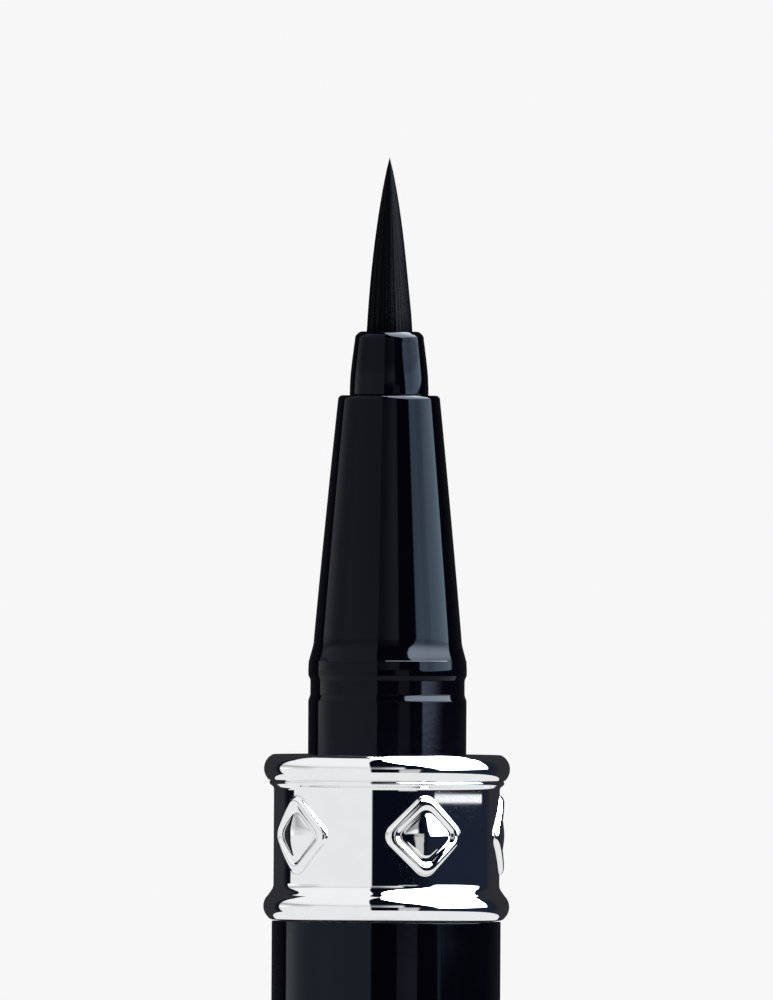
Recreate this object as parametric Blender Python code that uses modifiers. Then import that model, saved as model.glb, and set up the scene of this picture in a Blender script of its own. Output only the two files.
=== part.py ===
# Brush-tip liquid eyeliner pen, standing on its posted cap.
# Metres, +Z up the pen. The origin is the centre of the cap's closed end, which rests on the table.
import math

import bmesh
import bpy
from mathutils import Matrix, Vector

mm = 0.001

# Clearances
seat_gap = 0.06 * mm
slide_gap = 0.10 * mm
rim_gap = 0.10 * mm
cut_overrun = 0.40 * mm

# Facets round each turned piece
outer_facets = 40
inner_facets = 24
fine_facets = 80

# Barrel, the glossy outer sleeve
barrel_radius = 5.25 * mm
barrel_wall = 0.79 * mm
barrel_length = 88.60 * mm
barrel_edge = 0.10 * mm

# Decorative collar between barrel and nose
collar_height = 7.58 * mm
collar_inset = 0.07 * mm
bead_proud = 0.39 * mm
top_bead_round = 0.68 * mm
top_fillet = 0.25 * mm
top_sweep_deg = 54.0
low_bead_round = 0.52 * mm
low_bead_rise = 0.60 * mm
low_fillet = 0.64 * mm
low_sweep_deg = 66.0
collar_lip_thickness = 0.30 * mm

# Raised lozenges round the collar
lozenge_count = 5
first_lozenge_deg = 20.0
lozenge_half_width = 2.20 * mm
lozenge_margin = 0.09 * mm
lozenge_corner = 0.35 * mm
inner_lozenge_share = 0.56
frame_proud = 0.12 * mm
centre_proud = 0.22 * mm

# Nose cone, in stretches from the collar up
socket_wall = 0.71 * mm
neck_rise = 2.47 * mm
groove_depth = 0.09 * mm
groove_low_slope = 0.27 * mm
groove_height = 0.68 * mm
groove_high_slope = 0.21 * mm
ridge_proud = 0.01 * mm
ridge_height = 0.69 * mm
flare_height = 0.89 * mm
flare_width = 0.25 * mm
cone_height = 11.26 * mm
cone_tip_wall = 0.48 * mm
cone_corner = 0.20 * mm
shank_depth = 13.70 * mm
holder_step = 5.05 * mm
collector_step = 11.05 * mm
collector_wall = 0.50 * mm

# Brush holder
holder_wall = 0.44 * mm
holder_taper = 0.24 * mm
holder_face_round = 0.22 * mm
holder_rise = 2.93 * mm
holder_corner = 0.20 * mm
holder_wall_gap = 0.05 * mm
holder_flange_proud = 0.44 * mm
holder_flange_height = 1.50 * mm
holder_tail = 2.40 * mm
holder_mouth_depth = 3.90 * mm
holder_swell_shares = ((0.33, 0.33), (0.52, 0.63), (0.71, 0.88), (0.90, 0.985))

# Brush
brush_radius = 1.08 * mm
brush_length = 7.98 * mm
brush_rows = 8
slice_thickness = 0.40 * mm
slice_sink = 0.28 * mm
brush_flange_height = 0.80 * mm
brush_flange_proud = 0.23 * mm
strand_mid_share = 0.55
strand_width_share = 0.78
outer_strand_share = 0.80
taper_shares = (0.62, 0.38)

# Feed core and its hole in the brush root
feed_radius = 0.75 * mm
feed_tip_radius = 0.38 * mm
feed_tip_length = 2.60 * mm
feed_reach = 6.00 * mm

# Collector, the finned overflow comb
fin_count = 10
fin_share = 0.36
collector_core_wall = 0.75 * mm
collector_tube_length = 3.80 * mm
collector_flange_height = 0.80 * mm
collector_end_gap = 0.80 * mm

# Ink tank
tank_wall = 0.65 * mm
tank_lip_height = 0.80 * mm
tank_lip_width = 0.75 * mm
tank_lip_slope = 0.60 * mm

# Plug in the tank's rear end
plug_length = 4.50 * mm
plug_flange_height = 0.60 * mm
plug_wall = 1.49 * mm
plug_hollow_depth = 3.40 * mm

# Soft rings
seal_thickness = 0.44 * mm
nose_seal_depth = 9.00 * mm
seal_facets = 6

# Mixing ball
ball_radius = 2.00 * mm

# Tail plug with the stub that the cap is posted on
tail_band_height = 1.20 * mm
tail_shank_length = 6.00 * mm
stub_end_gap = 0.70 * mm
stub_wall = 1.01 * mm
stub_hollow_depth = 6.50 * mm

# Cap, measured in from its rim
cap_wall = 0.85 * mm
cap_end_wall = 1.50 * mm
cap_corner = 0.45 * mm
liner_sink = 0.30 * mm
liner_stop_depth = 8.70 * mm
liner_stop_height = 0.60 * mm
liner_stop_width = 0.46 * mm
liner_bead_length = 0.50 * mm
liner_bead_height = 0.05 * mm

# Inner cap that seals round the brush
tip_gap = 0.46 * mm
inner_cap_wall = 0.60 * mm
inner_cap_end = 0.80 * mm
inner_cap_lip = 0.10 * mm
inner_cap_lip_height = 0.50 * mm

# Spring behind the inner cap
spring_room = 4.54 * mm
spring_radius = 2.60 * mm
spring_wire_radius = 0.25 * mm
spring_turns = 3.75
points_per_turn = 9
boss_height = 0.80 * mm

# Radii that follow from the sizes above
barrel_bore = barrel_radius - barrel_wall
tank_radius = barrel_bore - seat_gap
tank_bore = tank_radius - tank_wall
socket_bore = tank_radius - socket_wall
neck_radius = socket_bore - seat_gap
tank_lip_bore = tank_bore - tank_lip_width
collar_radius = barrel_radius - collar_inset
collar_lip_bore = neck_radius + slide_gap
bead_radius = barrel_radius + bead_proud
groove_radius = neck_radius - groove_depth
ridge_radius = neck_radius + ridge_proud
cone_base_radius = neck_radius - flare_width
collector_bore = cone_base_radius - collector_wall
collector_radius = collector_bore - slide_gap
collector_flange_radius = socket_bore - slide_gap
holder_mouth_radius = brush_radius + seat_gap
brush_flange_radius = brush_radius + brush_flange_proud
holder_chamber_radius = brush_flange_radius + seat_gap
holder_base_radius = holder_chamber_radius + holder_wall
holder_top_radius = holder_base_radius - holder_taper
holder_face_radius = holder_top_radius - holder_face_round
nose_top_bore = holder_base_radius + holder_wall_gap
cone_top_radius = nose_top_bore + cone_tip_wall
holder_shank_radius = nose_top_bore - seat_gap
holder_flange_radius = holder_shank_radius + holder_flange_proud
flange_bore = holder_flange_radius + seat_gap
feed_hole_radius = feed_tip_radius + seat_gap
feed_bore = feed_radius + slide_gap
collector_core_radius = feed_bore + collector_core_wall
collector_tube_radius = holder_chamber_radius - slide_gap
seal_groove_radius = neck_radius - seal_thickness
plug_radius = tank_bore - seat_gap
plug_groove_radius = plug_radius - seal_thickness
plug_hollow_radius = plug_radius - plug_wall
stub_hollow_radius = neck_radius - stub_wall
cap_bore = barrel_radius - cap_wall
liner_radius = cap_bore - seat_gap
liner_bore = neck_radius + slide_gap
liner_stop_bore = liner_bore - liner_stop_width
inner_cap_radius = liner_bore - slide_gap
inner_cap_bore = inner_cap_radius - inner_cap_wall
inner_cap_mouth = inner_cap_bore - inner_cap_lip
boss_radius = spring_radius - spring_wire_radius - slide_gap

# Stretches along the pen and in the cap
neck_top = collar_height + neck_rise
groove_bottom = neck_top + groove_low_slope
groove_top = groove_bottom + groove_height
ridge_bottom = groove_top + groove_high_slope
ridge_top = ridge_bottom + ridge_height
cone_base = ridge_top + flare_height
cone_top = cone_base + cone_height
holder_top = cone_top + holder_rise
pen_reach = holder_top + brush_length - collar_height
inner_cap_depth = liner_stop_depth + liner_stop_height + seat_gap
inner_cap_length = pen_reach + tip_gap + inner_cap_end - inner_cap_depth
cap_length = inner_cap_depth + inner_cap_length + spring_room + cap_end_wall
liner_bead_depth = neck_rise + groove_low_slope + groove_height / 2
stub_length = liner_stop_depth - stub_end_gap

# Heights above the table
tail_band_bottom = cap_length + rim_gap
barrel_bottom = tail_band_bottom + tail_band_height + seat_gap
collar_bottom = barrel_bottom + barrel_length + seat_gap

# Heights above the collar's lower edge
top_bead_bottom = top_bead_round * (1 + math.sin(math.radians(top_sweep_deg))) + top_fillet
band_top = collar_height - top_bead_bottom
band_bottom = low_bead_rise + low_bead_round * math.sin(math.radians(low_sweep_deg)) + low_fillet
band_middle = (band_top + band_bottom) / 2
lozenge_half_height = (band_top - band_bottom) / 2 - lozenge_margin
holder_flange_top = cone_top - holder_step - seat_gap
holder_bottom = holder_flange_top - holder_flange_height - holder_tail
chamber_top = holder_top - holder_mouth_depth
strand_base = holder_top - slice_sink
slice_bottom = strand_base - slice_thickness
brush_base_top = slice_bottom - seat_gap
brush_flange_top = chamber_top - seat_gap
brush_base_bottom = brush_flange_top - brush_flange_height
feed_top = brush_base_bottom - seat_gap
collector_bottom_step = cone_top - collector_step
collector_top = collector_bottom_step - seat_gap
shank_bottom = -shank_depth
flange_top = shank_bottom - seat_gap
flange_bottom = flange_top - collector_flange_height
lip_top = flange_bottom - seat_gap
lip_bottom = lip_top - tank_lip_height
feed_bottom = flange_bottom - feed_reach
collar_lip_bottom = collar_height - collar_lip_thickness
tank_top = collar_lip_bottom - seat_gap
barrel_top = -seat_gap
barrel_end = barrel_bottom - collar_bottom
tail_shank_top = barrel_end + tail_shank_length
plug_flange_bottom = tail_shank_top + seat_gap
tank_bottom = plug_flange_bottom + plug_flange_height + seat_gap
plug_top = tank_bottom + plug_length
plug_seal_height = tank_bottom + plug_length / 2
ball_height = plug_top + seat_gap + ball_radius

# Depths below the cap's rim, as negative heights
liner_end = inner_cap_depth + inner_cap_length
inner_cap_top = -inner_cap_depth
inner_cap_bottom = inner_cap_top - inner_cap_length
cap_floor = cap_end_wall - cap_length
spring_bottom = cap_floor + seat_gap + spring_wire_radius
spring_top = inner_cap_bottom - seat_gap - spring_wire_radius


def clear_scene():
    for thing in list(bpy.data.objects):
        bpy.data.objects.remove(thing, do_unlink=True)


def new_collection(name):
    collection = bpy.data.collections.new(name)
    bpy.context.scene.collection.children.link(collection)
    return collection


def new_finish(name, colour, roughness, metallic=0.0, alpha=1.0):
    material = bpy.data.materials.new(name)
    material.use_nodes = True
    shader = material.node_tree.nodes["Principled BSDF"]
    shader.inputs["Base Color"].default_value = (*colour, 1.0)
    shader.inputs["Roughness"].default_value = roughness
    shader.inputs["Metallic"].default_value = metallic
    shader.inputs["Alpha"].default_value = alpha
    return material


def new_datum(name, height):
    datum = bpy.data.objects.new(name, None)
    datum.location = (0, 0, height)
    parts.objects.link(datum)
    return datum


# Weighted normals keep the flats and the long cylinders even beside narrow edges
def place(thing, datum, finish):
    thing.parent = datum
    if thing.type == "MESH":
        thing.modifiers.new("even_shading", "WEIGHTED_NORMAL")
    thing.data.materials.append(finish)
    parts.objects.link(thing)
    return thing


def as_cutter(thing):
    thing.hide_render = True
    thing.display_type = "WIRE"
    cutters.objects.link(thing)
    return thing


# An arc of a turned outline, as (radius, height) points
def arc(centre_radius, centre_height, size, start_deg, end_deg, steps):
    points = []
    for step in range(steps + 1):
        angle = math.radians(start_deg + (end_deg - start_deg) * step / steps)
        across = centre_radius + size * math.cos(angle)
        points.append((across, centre_height + size * math.sin(angle)))
    return points


# A turned piece. Its outline runs down the outer side, and either closes on itself or ends on the axis
def turned(name, outline, facets):
    mesh = bpy.data.meshes.new(name)
    points = [(radius, 0, height) for radius, height in outline]
    links = [(index, index + 1) for index in range(len(points) - 1)]
    if outline[0][0] > 0:
        links.append((len(points) - 1, 0))
    mesh.from_pydata(points, links, [])
    thing = bpy.data.objects.new(name, mesh)
    screw = thing.modifiers.new("turn", "SCREW")
    screw.axis = "Z"
    screw.angle = math.tau
    screw.screw_offset = 0
    screw.steps = facets
    screw.render_steps = facets
    screw.use_merge_vertices = True
    screw.merge_threshold = 0.000001
    screw.use_smooth_shade = True
    return thing


# A soft ring seated in a groove of the given inner radius
def seal_ring(name, inner_radius, height):
    round_radius = (seal_thickness - seat_gap) / 2
    centre_radius = inner_radius + seat_gap + round_radius
    step_deg = 360 / seal_facets
    outline = arc(centre_radius, height, round_radius, 90, step_deg - 270, seal_facets - 1)
    return turned(name, outline, inner_facets)


def make_barrel():
    outline = [
        (barrel_bore, barrel_top),
        (barrel_radius - barrel_edge, barrel_top),
        (barrel_radius, barrel_top - barrel_edge),
        (barrel_radius, barrel_end + barrel_edge),
        (barrel_radius - barrel_edge, barrel_end),
        (barrel_bore, barrel_end),
    ]
    place(turned("barrel", outline, outer_facets), pen_datum, black_gloss)


# Five upright prisms with rounded corners, cut to a raised height by a turned band
def lozenge_pads(name, share, proud):
    prisms = bpy.data.meshes.new(name + "_prisms")
    builder = bmesh.new()
    half_width = lozenge_half_width * share
    half_height = lozenge_half_height * share
    for index in range(lozenge_count):
        turn = math.radians(first_lozenge_deg) + index * math.tau / lozenge_count
        made = bmesh.ops.create_cone(
            builder, cap_ends=True, segments=4, radius1=1, radius2=1, depth=1)
        uprights = set()
        for vert in made["verts"]:
            for edge in vert.link_edges:
                if abs(edge.verts[0].co.z - edge.verts[1].co.z) > 0.5:
                    uprights.add(edge)
        size = Matrix.Diagonal((half_height, half_width, barrel_radius, 1))
        tip_out = Matrix.Rotation(math.radians(90), 4, "Y")
        shift = Matrix.Translation((barrel_radius, 0, 0))
        raise_up = Matrix.Translation((0, 0, band_middle))
        # The pictured front of the collar faces -Y
        spin = Matrix.Rotation(turn - math.radians(90), 4, "Z")
        move = raise_up @ spin @ shift @ tip_out @ size
        bmesh.ops.transform(builder, matrix=move, verts=made["verts"])
        bmesh.ops.bevel(
            builder, geom=list(uprights), offset=lozenge_corner * share, segments=2,
            affect="EDGES", profile=0.5)
    bmesh.ops.recalc_face_normals(builder, faces=builder.faces)
    builder.to_mesh(prisms)
    builder.free()
    prism_cutter = as_cutter(bpy.data.objects.new(name + "_prisms", prisms))
    outer = collar_radius + proud
    inner = collar_radius - cut_overrun
    top = band_middle + lozenge_half_height + cut_overrun
    bottom = band_middle - lozenge_half_height - cut_overrun
    band = turned(name, [(inner, top), (outer, top), (outer, bottom), (inner, bottom)], fine_facets)
    as_cutter(band)
    trim = band.modifiers.new("trim", "BOOLEAN")
    trim.operation = "INTERSECT"
    trim.object = prism_cutter
    prism_cutter.parent = pen_datum
    band.parent = pen_datum
    return band


def make_collar():
    top_centre = bead_radius - top_bead_round
    top_height = collar_height - top_bead_round
    low_centre = bead_radius - low_bead_round
    outline = [(collar_lip_bore, collar_height)]
    outline += arc(top_centre, top_height, top_bead_round, 90, -top_sweep_deg, 8)
    outline += [
        (collar_radius, band_top),
        (collar_radius, band_bottom),
    ]
    outline += arc(low_centre, low_bead_rise, low_bead_round, low_sweep_deg, -low_sweep_deg, 6)
    outline += [
        (barrel_radius, 0),
        (barrel_bore, 0),
        (barrel_bore, collar_lip_bottom),
        (collar_lip_bore, collar_lip_bottom),
    ]
    collar = turned("decor_collar", outline, outer_facets)
    for name, share, proud in (("frame_pads", 1, frame_proud),
                               ("centre_pads", inner_lozenge_share, centre_proud)):
        join = collar.modifiers.new(name, "BOOLEAN")
        join.operation = "UNION"
        join.object = lozenge_pads(name, share, proud)
    place(collar, pen_datum, chrome)


def make_ink_tank():
    outline = [
        (socket_bore, tank_top),
        (tank_radius, tank_top),
        (tank_radius, tank_bottom),
        (tank_bore, tank_bottom),
        (tank_bore, lip_bottom - tank_lip_slope),
        (tank_lip_bore, lip_bottom),
        (tank_lip_bore, lip_top),
        (socket_bore, lip_top),
    ]
    place(turned("ink_tank", outline, inner_facets), pen_datum, tank_plastic)


def make_nose_cone():
    seal_top = -nose_seal_depth + seal_thickness / 2 + seat_gap
    seal_bottom = -nose_seal_depth - seal_thickness / 2 - seat_gap
    outline = [(nose_top_bore, cone_top)]
    outline += arc(cone_top_radius - cone_corner, cone_top - cone_corner, cone_corner, 90, 5, 2)
    outline += [
        (cone_base_radius, cone_base),
        (ridge_radius, ridge_top),
        (ridge_radius, ridge_bottom),
        (groove_radius, groove_top),
        (groove_radius, groove_bottom),
        (neck_radius, neck_top),
        (neck_radius, seal_top),
        (seal_groove_radius - seat_gap, seal_top),
        (seal_groove_radius - seat_gap, seal_bottom),
        (neck_radius, seal_bottom),
        (neck_radius, shank_bottom),
        (collector_bore, shank_bottom),
        (collector_bore, collector_bottom_step),
        (flange_bore, collector_bottom_step),
        (flange_bore, cone_top - holder_step),
        (nose_top_bore, cone_top - holder_step),
    ]
    place(turned("nose_cone", outline, outer_facets), pen_datum, black_gloss)


def make_brush_holder():
    outline = [
        (holder_mouth_radius, holder_top),
        (holder_face_radius, holder_top),
        (holder_top_radius, holder_top - holder_corner),
    ]
    swell = holder_base_radius - holder_top_radius
    for drop_share, swell_share in holder_swell_shares:
        outline.append((holder_top_radius + swell * swell_share, holder_top - holder_rise * drop_share))
    flange_bottom_height = holder_flange_top - holder_flange_height
    outline += [
        (holder_base_radius, cone_top + seat_gap),
        (holder_shank_radius, cone_top),
        (holder_shank_radius, holder_flange_top),
        (holder_flange_radius, holder_flange_top),
        (holder_flange_radius, flange_bottom_height),
        (holder_shank_radius, flange_bottom_height),
        (holder_shank_radius, holder_bottom),
        (holder_chamber_radius, holder_bottom),
        (holder_chamber_radius, chamber_top),
        (holder_mouth_radius, chamber_top),
    ]
    place(turned("brush_holder", outline, inner_facets), pen_datum, black_gloss)


# How far the brush has narrowed at a share of its length above the holder
def brush_share(rise_share):
    return 1 - taper_shares[0] * rise_share - taper_shares[1] * rise_share ** 3


# One strand stands on each triangle of a round lattice, and all lean in to one point without crossing
def make_brush_tip():
    builder = bmesh.new()
    bmesh.ops.create_circle(builder, cap_ends=True, cap_tris=True, segments=6, radius=1)
    bmesh.ops.subdivide_edges(
        builder, edges=list(builder.edges), cuts=brush_rows - 1, use_grid_fill=True)
    bmesh.ops.triangulate(builder, faces=list(builder.faces))
    sector = math.radians(60)
    for vert in builder.verts:
        reach = vert.co.length
        if reach > 0:
            # The hexagon's corners lie at every 60 degrees from +Y
            angle = math.atan2(vert.co.x, vert.co.y) % sector
            hexagon_edge = math.cos(sector / 2) / math.cos(angle - sector / 2)
            vert.co *= brush_radius / hexagon_edge
        vert.co.z = strand_base
    lattice = list(builder.faces)
    bottom = bmesh.ops.extrude_face_region(builder, geom=lattice, use_keep_orig=True)["geom"]
    bottom_verts = [item for item in bottom if isinstance(item, bmesh.types.BMVert)]
    bottom_faces = [item for item in bottom if isinstance(item, bmesh.types.BMFace)]
    bmesh.ops.translate(builder, verts=bottom_verts, vec=(0, 0, -slice_thickness))
    bmesh.ops.dissolve_faces(builder, faces=bottom_faces)
    strands = bmesh.ops.extrude_discrete_faces(builder, faces=lattice)["faces"]
    mid_height = holder_top + brush_length * strand_mid_share
    least_reach = min(strand.calc_center_median().xy.length for strand in strands)
    tips = []
    for strand in strands:
        centre = strand.calc_center_median()
        lean = brush_share(strand_mid_share)
        for vert in strand.verts:
            spread = (vert.co - centre) * strand_width_share
            vert.co = (centre + spread) * lean
            vert.co.z = mid_height
        reach_share = (centre.xy.length - least_reach) / brush_radius
        rise_share = 1 - (1 - outer_strand_share) * reach_share
        tip = centre * brush_share(rise_share)
        tip.z = holder_top + brush_length * rise_share
        tips.append((strand, tip))
    for strand, tip in tips:
        point = bmesh.ops.poke(builder, faces=[strand])["verts"][0]
        point.co = tip
    bmesh.ops.recalc_face_normals(builder, faces=builder.faces)
    mesh = bpy.data.meshes.new("brush_tip")
    builder.to_mesh(mesh)
    builder.free()
    place(bpy.data.objects.new("brush_tip", mesh), pen_datum, brush_black)
    print("brush strands:", len(tips))


def make_brush_base():
    outline = [
        (feed_hole_radius, brush_base_top),
        (brush_radius, brush_base_top),
        (brush_radius, brush_flange_top),
        (brush_flange_radius, brush_flange_top),
        (brush_flange_radius, brush_base_bottom),
        (feed_hole_radius, brush_base_bottom),
    ]
    place(turned("brush_base", outline, inner_facets), pen_datum, brush_black)


def make_feed_core():
    outline = [
        (0, feed_top + feed_tip_length),
        (feed_tip_radius, feed_top + feed_tip_length - feed_tip_radius),
        (feed_tip_radius, feed_top),
        (feed_radius, feed_top),
        (feed_radius, feed_bottom),
        (0, feed_bottom),
    ]
    place(turned("feed_core", outline, inner_facets), pen_datum, fibre)


def make_collector():
    outline = [
        (feed_bore, collector_top + collector_tube_length),
        (collector_tube_radius, collector_top + collector_tube_length),
        (collector_tube_radius, collector_top),
    ]
    pitch = (collector_top - flange_top - collector_end_gap) / fin_count
    for index in range(fin_count):
        fin_top = collector_top - index * pitch
        outline += [
            (collector_radius, fin_top),
            (collector_radius, fin_top - pitch * fin_share),
            (collector_core_radius, fin_top - pitch * fin_share),
        ]
        if index + 1 < fin_count:
            outline.append((collector_core_radius, fin_top - pitch))
    outline += [
        (collector_core_radius, flange_top),
        (collector_flange_radius, flange_top),
        (collector_flange_radius, flange_bottom),
        (feed_bore, flange_bottom),
    ]
    place(turned("collector", outline, inner_facets), pen_datum, comb_plastic)


def make_tank_plug():
    groove_top_height = plug_seal_height + seal_thickness / 2 + seat_gap
    groove_bottom_height = plug_seal_height - seal_thickness / 2 - seat_gap
    plug_flange_top = plug_flange_bottom + plug_flange_height
    outline = [
        (0, plug_top),
        (plug_radius, plug_top),
        (plug_radius, groove_top_height),
        (plug_groove_radius - seat_gap, groove_top_height),
        (plug_groove_radius - seat_gap, groove_bottom_height),
        (plug_radius, groove_bottom_height),
        (plug_radius, plug_flange_top),
        (tank_radius, plug_flange_top),
        (tank_radius, plug_flange_bottom),
        (plug_hollow_radius, plug_flange_bottom),
        (plug_hollow_radius, plug_flange_bottom + plug_hollow_depth),
        (0, plug_flange_bottom + plug_hollow_depth),
    ]
    place(turned("tank_plug", outline, inner_facets), pen_datum, tank_plastic)


def make_mixing_ball():
    mesh = bpy.data.meshes.new("mixing_ball")
    builder = bmesh.new()
    bmesh.ops.create_uvsphere(builder, u_segments=inner_facets, v_segments=12, radius=ball_radius)
    builder.to_mesh(mesh)
    builder.free()
    mesh.shade_smooth()
    ball = place(bpy.data.objects.new("mixing_ball", mesh), pen_datum, steel)
    ball.location = (0, 0, ball_height)


# The stub repeats the neck's own profile, so the cap's liner grips it as it grips the neck
def make_tail_plug():
    band_top = barrel_end - seat_gap
    band_bottom = band_top - tail_band_height
    neck_run = neck_top - collar_height
    groove_run = groove_bottom - collar_height
    groove_end = groove_top - collar_height
    ridge_run = ridge_bottom - collar_height
    stub_end = band_bottom - stub_length
    outline = [
        (0, tail_shank_top),
        (tank_radius, tail_shank_top),
        (tank_radius, band_top),
        (barrel_radius, band_top),
        (barrel_radius, band_bottom),
        (neck_radius, band_bottom),
        (neck_radius, band_bottom - neck_run),
        (groove_radius, band_bottom - groove_run),
        (groove_radius, band_bottom - groove_end),
        (ridge_radius, band_bottom - ridge_run),
        (ridge_radius, stub_end + cone_corner),
        (ridge_radius - cone_corner, stub_end),
        (stub_hollow_radius, stub_end),
        (stub_hollow_radius, stub_end + stub_hollow_depth),
        (0, stub_end + stub_hollow_depth),
    ]
    place(turned("tail_plug", outline, outer_facets), pen_datum, black_gloss)


def make_cap_shell():
    cap_bottom = -cap_length
    outline = [
        (0, cap_floor + boss_height),
        (boss_radius, cap_floor + boss_height),
        (boss_radius, cap_floor),
        (cap_bore, cap_floor),
        (cap_bore, 0),
        (barrel_radius - barrel_edge, 0),
        (barrel_radius, -barrel_edge),
    ]
    outline += arc(barrel_radius - cap_corner, cap_bottom + cap_corner, cap_corner, 0, -90, 3)
    outline += [(0, cap_bottom)]
    place(turned("cap_shell", outline, outer_facets), cap_datum, black_gloss)


def make_cap_liner():
    stop_top = -liner_stop_depth
    stop_bottom = stop_top - liner_stop_height
    bead_bore = liner_bore - liner_bead_height
    half_bead = liner_bead_length / 2
    outline = [
        (liner_bore, -liner_sink),
        (liner_radius, -liner_sink),
        (liner_radius, -liner_end),
        (liner_bore, -liner_end),
        (liner_bore, stop_bottom),
        (liner_stop_bore, stop_bottom),
        (liner_stop_bore, stop_top),
        (liner_bore, stop_top),
        (liner_bore, -liner_bead_depth - half_bead),
        (bead_bore, -liner_bead_depth),
        (liner_bore, -liner_bead_depth + half_bead),
    ]
    place(turned("cap_liner", outline, outer_facets), cap_datum, liner_plastic)


def make_inner_cap():
    boss_bottom = inner_cap_bottom - boss_height
    outline = [
        (0, inner_cap_bottom + inner_cap_end),
        (inner_cap_bore, inner_cap_bottom + inner_cap_end),
        (inner_cap_bore, inner_cap_top - inner_cap_lip_height),
        (inner_cap_mouth, inner_cap_top - inner_cap_lip_height),
        (inner_cap_mouth, inner_cap_top),
        (inner_cap_radius, inner_cap_top),
        (inner_cap_radius, inner_cap_bottom),
        (boss_radius, inner_cap_bottom),
        (boss_radius, boss_bottom),
        (0, boss_bottom),
    ]
    place(turned("inner_cap", outline, inner_facets), cap_datum, inner_cap_plastic)


def make_cap_spring():
    count = round(spring_turns * points_per_turn) + 1
    points = []
    for index in range(count):
        turns = spring_turns * index / (count - 1)
        angle = math.tau * turns
        height = spring_bottom + (spring_top - spring_bottom) * index / (count - 1)
        points.append(Vector((spring_radius * math.cos(angle), spring_radius * math.sin(angle), height)))
    least = math.inf
    half_turn = points_per_turn // 2
    for index, first in enumerate(points):
        for second in points[index + half_turn:]:
            least = min(least, (first - second).length)
    print("spring's least gap to itself, mm:", round((least - 2 * spring_wire_radius) / mm, 3))
    curve = bpy.data.curves.new("cap_spring", "CURVE")
    curve.dimensions = "3D"
    curve.bevel_depth = spring_wire_radius
    curve.bevel_resolution = 1
    curve.use_fill_caps = True
    wire = curve.splines.new("POLY")
    wire.points.add(count - 1)
    for point, place_on_wire in zip(wire.points, points):
        point.co = (*place_on_wire, 1)
    place(bpy.data.objects.new("cap_spring", curve), cap_datum, spring_steel)


clear_scene()
parts = new_collection("eyeliner")
cutters = new_collection("cutters")
pen_datum = new_datum("pen_datum", collar_bottom)
cap_datum = new_datum("cap_datum", cap_length)

black_gloss = new_finish("black_gloss", (0.012, 0.012, 0.014), 0.08)
chrome = new_finish("chrome", (0.86, 0.87, 0.89), 0.05, metallic=1.0)
brush_black = new_finish("brush_black", (0.015, 0.017, 0.024), 0.35)
fibre = new_finish("fibre", (0.10, 0.10, 0.11), 0.9)
comb_plastic = new_finish("comb_plastic", (0.30, 0.31, 0.33), 0.5)
tank_plastic = new_finish("tank_plastic", (0.72, 0.73, 0.74), 0.4)
liner_plastic = new_finish("liner_plastic", (0.20, 0.20, 0.21), 0.5)
inner_cap_plastic = new_finish("inner_cap_plastic", (0.55, 0.56, 0.58), 0.45)
seal_rubber = new_finish("seal_rubber", (0.03, 0.03, 0.03), 0.8)
steel = new_finish("steel", (0.62, 0.62, 0.63), 0.2, metallic=1.0)
spring_steel = new_finish("spring_steel", (0.55, 0.55, 0.56), 0.3, metallic=1.0)

make_barrel()
make_collar()
make_ink_tank()
make_nose_cone()
place(seal_ring("nose_seal", seal_groove_radius, -nose_seal_depth), pen_datum, seal_rubber)
make_brush_holder()
make_brush_tip()
make_brush_base()
make_feed_core()
make_collector()
make_tank_plug()
place(seal_ring("plug_seal", plug_groove_radius, plug_seal_height), pen_datum, seal_rubber)
make_mixing_ball()
make_tail_plug()
make_cap_shell()
make_cap_liner()
make_inner_cap()
make_cap_spring()
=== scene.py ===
# Looks for the brush-tip eyeliner pen. Metres, +Z up the pen, and the pictured front faces -Y.
import math

import bmesh
import bpy
from mathutils import Matrix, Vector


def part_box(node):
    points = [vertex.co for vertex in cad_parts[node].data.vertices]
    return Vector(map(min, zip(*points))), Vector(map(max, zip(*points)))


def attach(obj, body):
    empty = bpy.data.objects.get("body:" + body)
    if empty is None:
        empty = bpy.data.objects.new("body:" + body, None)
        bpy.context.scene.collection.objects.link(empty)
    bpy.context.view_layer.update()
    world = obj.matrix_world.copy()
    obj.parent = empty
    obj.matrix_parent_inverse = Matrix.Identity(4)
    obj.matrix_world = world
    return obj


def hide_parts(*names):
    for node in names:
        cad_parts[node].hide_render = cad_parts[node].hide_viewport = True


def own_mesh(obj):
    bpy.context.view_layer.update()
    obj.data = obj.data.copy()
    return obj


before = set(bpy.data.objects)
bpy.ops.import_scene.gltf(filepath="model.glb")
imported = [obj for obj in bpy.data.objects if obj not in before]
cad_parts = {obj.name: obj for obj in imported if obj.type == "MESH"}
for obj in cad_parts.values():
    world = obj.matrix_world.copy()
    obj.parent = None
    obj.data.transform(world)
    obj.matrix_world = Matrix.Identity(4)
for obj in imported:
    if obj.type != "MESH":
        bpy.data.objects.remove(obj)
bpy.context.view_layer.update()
mm = 0.001
tau = math.tau
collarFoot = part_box("decor_collar")[0].z
print("frame loaded, collar foot at", round(collarFoot / mm, 3), "mm")


def operator(operation, swapped=False):
    def joined(self, other):
        return self.graph.maths(operation, *((other, self) if swapped else (self, other)))
    return joined


# a node's output; sums with it are written as ordinary maths and make math nodes
class Wire:
    def __init__(self, graph, socket):
        self.graph = graph
        self.socket = socket

    __add__, __radd__ = operator("ADD"), operator("ADD", True)
    __sub__, __rsub__ = operator("SUBTRACT"), operator("SUBTRACT", True)
    __mul__, __rmul__ = operator("MULTIPLY"), operator("MULTIPLY", True)
    __truediv__ = operator("DIVIDE")
    __pow__ = operator("POWER")


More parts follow.
